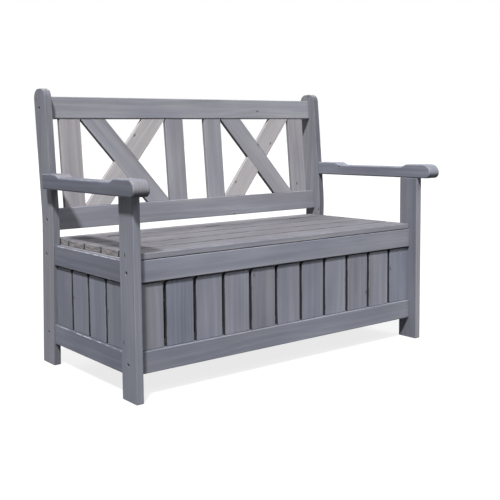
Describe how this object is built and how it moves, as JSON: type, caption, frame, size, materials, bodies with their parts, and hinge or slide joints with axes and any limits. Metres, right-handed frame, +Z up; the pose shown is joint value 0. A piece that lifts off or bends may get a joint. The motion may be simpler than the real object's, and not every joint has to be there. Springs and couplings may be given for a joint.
{
  "type": "garden storage bench",
  "caption": "Grey-washed wooden garden bench with armrests, a raked back with crossed braces, and a hinged seat lid over a slatted storage box.",
  "frame": {"origin": "on the floor under the middle of the bench's bounding box", "axes": "+X to the sitter's left (the viewer's right from the front), -Y to the front, +Z up"},
  "size_m": [1.15, 0.599, 0.82],
  "materials": {
    "grey_wood": "grey wash over brushed softwood",
    "inner_wood": "thin grey wash over sawn softwood",
    "dowel_wood": "bare beech",
    "zinc_steel": "zinc plated"
  },
  "bodies": {
    "frame": {"armrest_left": "grey_wood", "armrest_right": "grey_wood", "back_brace_front_left": "grey_wood", "back_brace_front_right": "grey_wood", "back_brace_rear_left": "grey_wood", "back_brace_rear_right": "grey_wood", "back_lower_rail": "grey_wood", "back_slat_1": "grey_wood", "back_slat_2": "grey_wood", "back_slat_3": "grey_wood", "back_slat_4": "grey_wood", "back_top_rail": "grey_wood", "barrel_nuts": "zinc_steel", "dowels": "dowel_wood", "fixed_seat_board": "grey_wood", "floor_bearers": "inner_wood", "floor_boards": "inner_wood", "frame_bolts": "zinc_steel", "frame_screws": "zinc_steel", "front_bottom_rail": "grey_wood", "front_post_left": "grey_wood", "front_post_right": "grey_wood", "front_slat_01": "grey_wood", "front_slat_02": "grey_wood", "front_slat_03": "grey_wood", "front_slat_04": "grey_wood", "front_slat_05": "grey_wood", "front_slat_06": "grey_wood", "front_slat_07": "grey_wood", "front_slat_08": "grey_wood", "front_slat_09": "grey_wood", "front_slat_10": "grey_wood", "front_slat_11": "grey_wood", "front_top_rail": "grey_wood", "hinge_leaves_fixed": "zinc_steel", "hinge_pins": "zinc_steel", "lower_cleats": "inner_wood", "rear_bottom_rail": "grey_wood", "rear_post_left": "grey_wood", "rear_post_right": "grey_wood", "rear_slats": "grey_wood", "rear_top_rail": "grey_wood", "seat_bearers": "inner_wood", "side_bottom_rail_left": "grey_wood", "side_bottom_rail_right": "grey_wood", "side_slats_left": "grey_wood", "side_slats_right": "grey_wood", "side_top_rail_left": "grey_wood", "side_top_rail_right": "grey_wood", "upper_cleats": "inner_wood"},
    "lid": {"hinge_leaves_lid": "zinc_steel", "lid_batten_1": "inner_wood", "lid_batten_2": "inner_wood", "lid_batten_3": "inner_wood", "lid_board_1": "grey_wood", "lid_board_2": "grey_wood", "lid_board_3": "grey_wood", "lid_board_4": "grey_wood", "lid_screws": "zinc_steel"}
  },
  "joints": [
    {"name": "lid_hinge", "type": "hinge", "parent": "frame", "child": "lid", "pos_m": [0, 0.15296, 0.379], "axis": [-1, 0, 0], "range_deg": [0, 103]}
  ]
}
